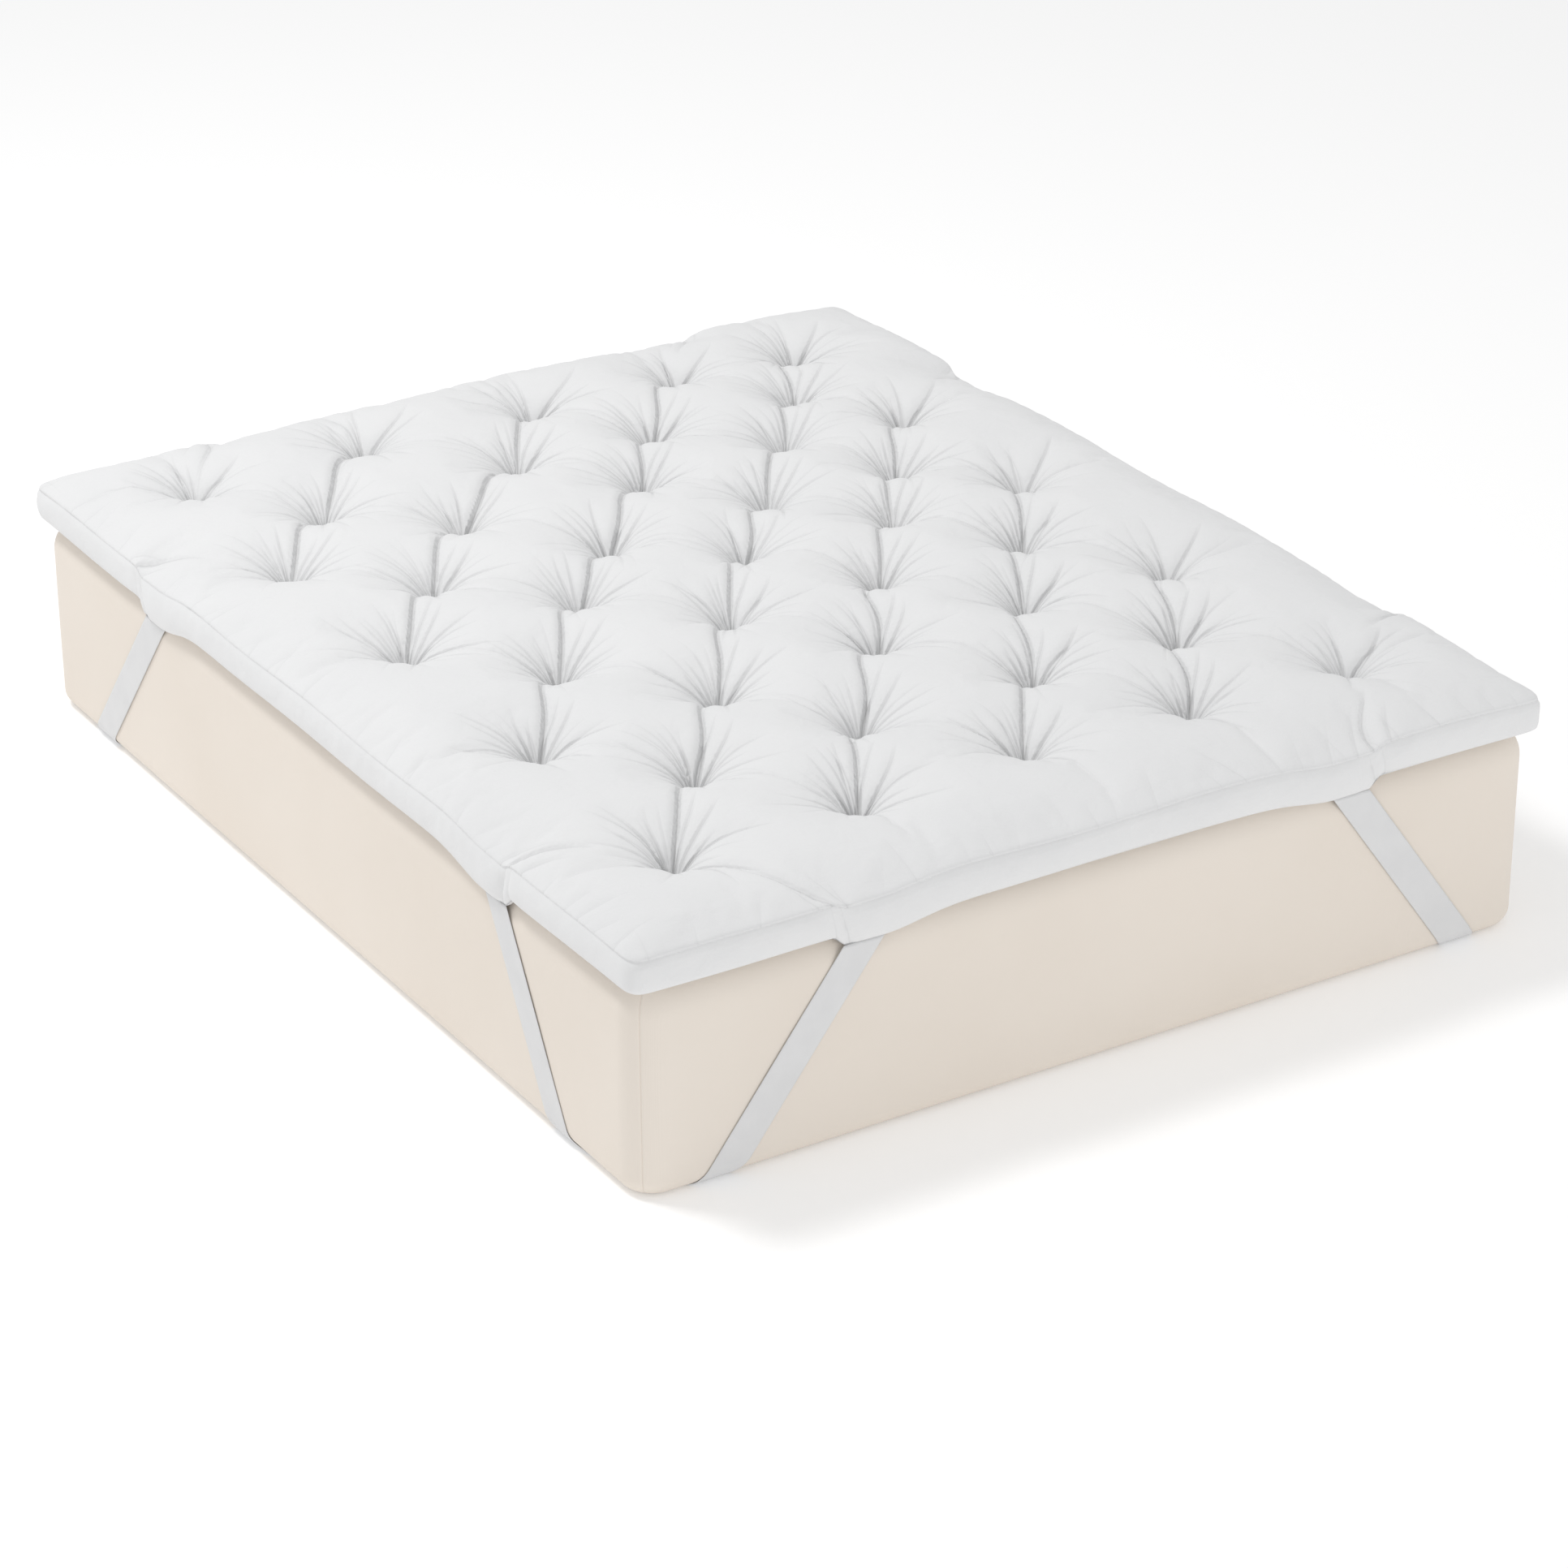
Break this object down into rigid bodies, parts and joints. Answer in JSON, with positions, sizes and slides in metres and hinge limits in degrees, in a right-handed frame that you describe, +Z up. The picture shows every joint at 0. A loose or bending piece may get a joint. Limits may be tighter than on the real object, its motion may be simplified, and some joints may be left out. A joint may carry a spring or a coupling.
{
  "type": "mattress topper on a mattress",
  "caption": "Filled, tufted mattress topper with a boxed band, lying on a plain mattress and held by an elastic strap round each corner.",
  "frame": {"origin": "middle of the mattress's underside, on the surface it lies on", "axes": "+X across the bed along its 1.6 m width, +Y along its 2.0 m length, +Z up"},
  "size_m": [1.62, 2.02, 0.4363],
  "materials": {
    "mattress_cover": "matt cream knitted cover",
    "white_cotton": "fine, soft white cotton weave",
    "white_elastic": "matt ribbed white elastic"
  },
  "bodies": {
    "root": {"mattress": "mattress_cover", "topper": "white_cotton", "strap_front_left": "white_elastic", "strap_front_right": "white_elastic", "strap_back_left": "white_elastic", "strap_back_right": "white_elastic"}
  },
  "joints": []
}
